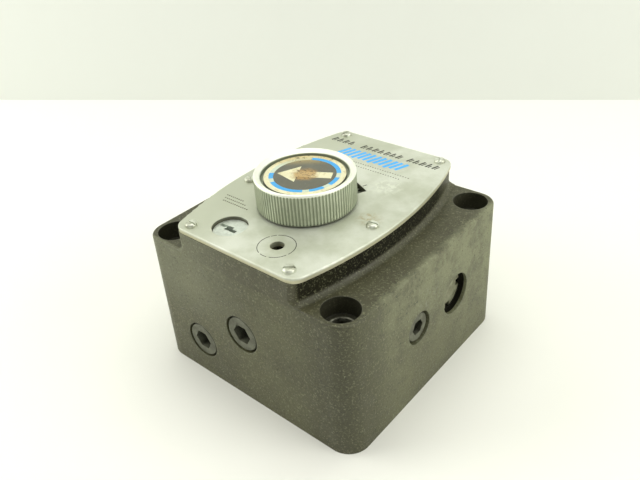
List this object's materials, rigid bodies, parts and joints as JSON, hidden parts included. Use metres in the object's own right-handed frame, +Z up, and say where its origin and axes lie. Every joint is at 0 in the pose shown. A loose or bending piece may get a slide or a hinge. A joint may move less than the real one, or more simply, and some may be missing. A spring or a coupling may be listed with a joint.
{
  "type": "flow control valve",
  "caption": "Manifold-mounted hydraulic flow control valve: dial-set throttle with key lock, pressure compensator and reverse-flow check valve.",
  "frame": {"origin": "centre of the flat mounting face, on the surface that the valve is bolted to", "axes": "+Z up from the mounting face towards the dial; -Y towards the face with two large plugs; +X towards the face with the recessed plug"},
  "size_m": [0.1258, 0.125, 0.1015],
  "materials": {
    "cast_body": "dark oxide paint over a cast surface",
    "cover_aluminium": "satin anodised",
    "screw_steel": "bright zinc",
    "knob_metal": "fine satin",
    "dial_print": "printed",
    "ring_metal": "satin",
    "lock_metal": "plated",
    "brass_bushing": "turned",
    "spring_steel": "drawn wire",
    "machined_steel": "ground",
    "plug_steel": "dark phosphate",
    "end_plug_metal": "dull zinc",
    "seal_rubber": "moulded"
  },
  "bodies": {
    "housing": {"valve_body": "cast_body", "cover_plate": "cover_aluminium", "cover_screws": "screw_steel", "fixed_stop_pin": "machined_steel", "shaft_gland": "machined_steel", "gland_seal": "seal_rubber", "shaft_seal": "seal_rubber", "thrust_washer": "brass_bushing", "throttle_sleeve": "machined_steel", "sleeve_seals": "seal_rubber", "guide_pin": "machined_steel", "throttle_spring": "spring_steel", "compensator_spring": "spring_steel", "compensator_plug": "end_plug_metal", "compensator_plug_seal": "seal_rubber", "check_seat": "machined_steel", "check_spring": "spring_steel", "check_plug": "plug_steel", "gallery_plug": "plug_steel", "control_plug": "plug_steel", "spring_plug": "plug_steel", "outlet_plug": "plug_steel", "check_plug_seal": "seal_rubber", "gallery_plug_seal": "seal_rubber", "control_plug_seal": "seal_rubber", "spring_plug_seal": "seal_rubber", "outlet_plug_seal": "seal_rubber", "port_seals": "seal_rubber", "lock_housing": "brass_bushing"},
    "dial": {"dial_knob": "knob_metal", "dial_face": "dial_print", "knob_washer": "machined_steel", "knob_screw": "machined_steel", "dial_shaft": "machined_steel", "scale_ring": "ring_metal", "ring_stop_pin": "machined_steel"},
    "throttle": {"throttle_spool": "machined_steel"},
    "compensator": {"compensator_spool": "machined_steel"},
    "check": {"check_poppet": "machined_steel"},
    "lock": {"lock_barrel": "lock_metal", "lock_clip": "spring_steel"},
    "bolt": {"lock_bolt": "machined_steel"}
  },
  "joints": [
    {"name": "dial_turn", "type": "hinge", "parent": "housing", "child": "dial", "pos_m": [0, -0.0111, 0.09], "axis": [0, 0, 1], "range_deg": [0, 330]},
    {"name": "throttle_slide", "type": "slide", "parent": "housing", "child": "throttle", "axis": [0, 0, -1], "range_m": [0, 0.0066], "deforming": ["throttle_spring"]},
    {"name": "compensator_slide", "type": "slide", "parent": "housing", "child": "compensator", "axis": [-1, 0, 0], "range_m": [0, 0.005], "stiffness_N_per_m": 9500, "springref_m": -0.006, "deforming": ["compensator_spring"]},
    {"name": "check_slide", "type": "slide", "parent": "housing", "child": "check", "axis": [0, 1, 0], "range_m": [0, 0.005], "stiffness_N_per_m": 2000, "springref_m": -0.002, "deforming": ["check_spring"]},
    {"name": "lock_turn", "type": "hinge", "parent": "housing", "child": "lock", "pos_m": [-0.0146, -0.0465, 0.08], "axis": [0, 0, 1], "range_deg": [0, 90]},
    {"name": "lock_slide", "type": "slide", "parent": "housing", "child": "bolt", "axis": [0.3813, 0.9245, 0], "range_m": [0, 0.0024]}
  ],
  "couplings": [
    {"joint": "throttle_slide", "follows": "dial_turn", "m_per_rad": 0.0011459},
    {"joint": "lock_slide", "follows": "lock_turn", "m_per_rad": 0.0015305}
  ]
}
